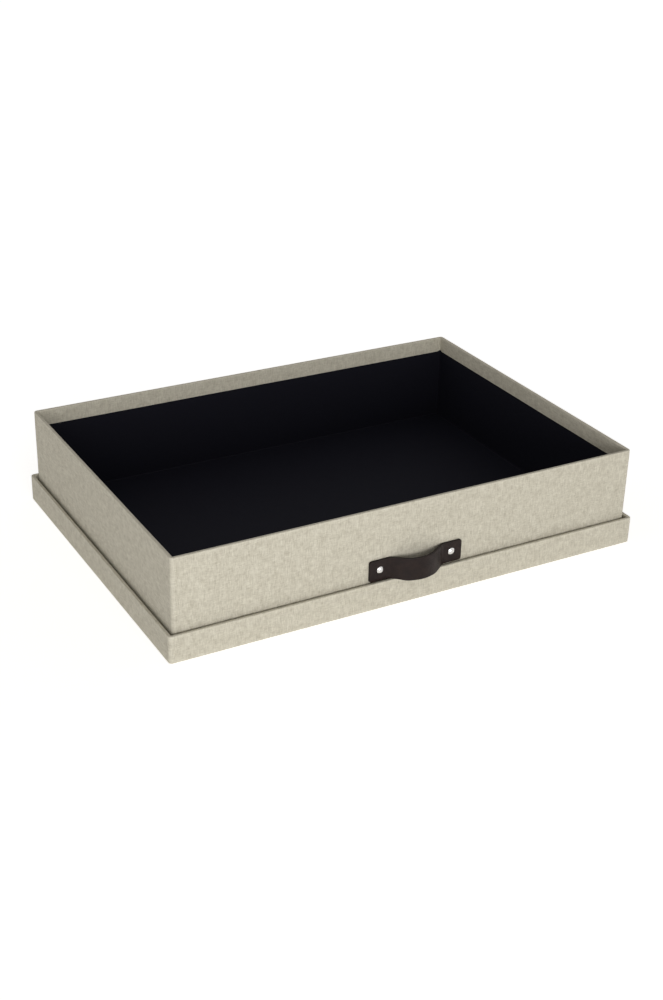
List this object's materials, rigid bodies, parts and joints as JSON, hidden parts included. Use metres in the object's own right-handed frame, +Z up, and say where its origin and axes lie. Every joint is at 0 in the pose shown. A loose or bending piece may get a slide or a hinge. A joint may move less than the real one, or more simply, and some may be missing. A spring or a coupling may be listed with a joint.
{
  "type": "document box",
  "caption": "Low open document box of canvas-wrapped board, standing in its own upturned lid, with a bowed leather strap riveted to the front wall as a pull.",
  "frame": {"origin": "on the table, under the middle of the upturned lid's panel, with the tray stored standing in the lid", "axes": "+X to the right along the front wall, +Y from the front wall with the strap to the back wall, +Z up"},
  "size_m": [0.4424, 0.3228, 0.0887],
  "materials": {
    "canvas": "plain weave, matt",
    "greyboard": "pressed, matt",
    "lining": "fine grain, matt",
    "tape": "gummed kraft, matt",
    "leather": "smooth, satin",
    "nickel": "nickel plated, bright"
  },
  "bodies": {
    "lid": {"lid_canvas_wrap": "canvas", "lid_panel_board": "greyboard", "lid_front_board": "greyboard", "lid_back_board": "greyboard", "lid_left_board": "greyboard", "lid_right_board": "greyboard", "lid_corner_tapes": "tape", "lid_rim_lining": "lining", "lid_panel_lining": "lining"},
    "tray": {"tray_canvas_wrap": "canvas", "tray_floor_board": "greyboard", "tray_front_board": "greyboard", "tray_back_board": "greyboard", "tray_left_board": "greyboard", "tray_right_board": "greyboard", "tray_corner_tapes": "tape", "tray_wall_lining": "lining", "tray_floor_lining": "lining", "leather_strap": "leather", "left_rivet": "nickel", "right_rivet": "nickel", "left_rivet_back": "nickel", "right_rivet_back": "nickel"}
  },
  "joints": [
    {"name": "tray_lift", "type": "slide", "parent": "lid", "child": "tray", "axis": [0, 0, 1], "range_m": [0, 0.06]}
  ]
}
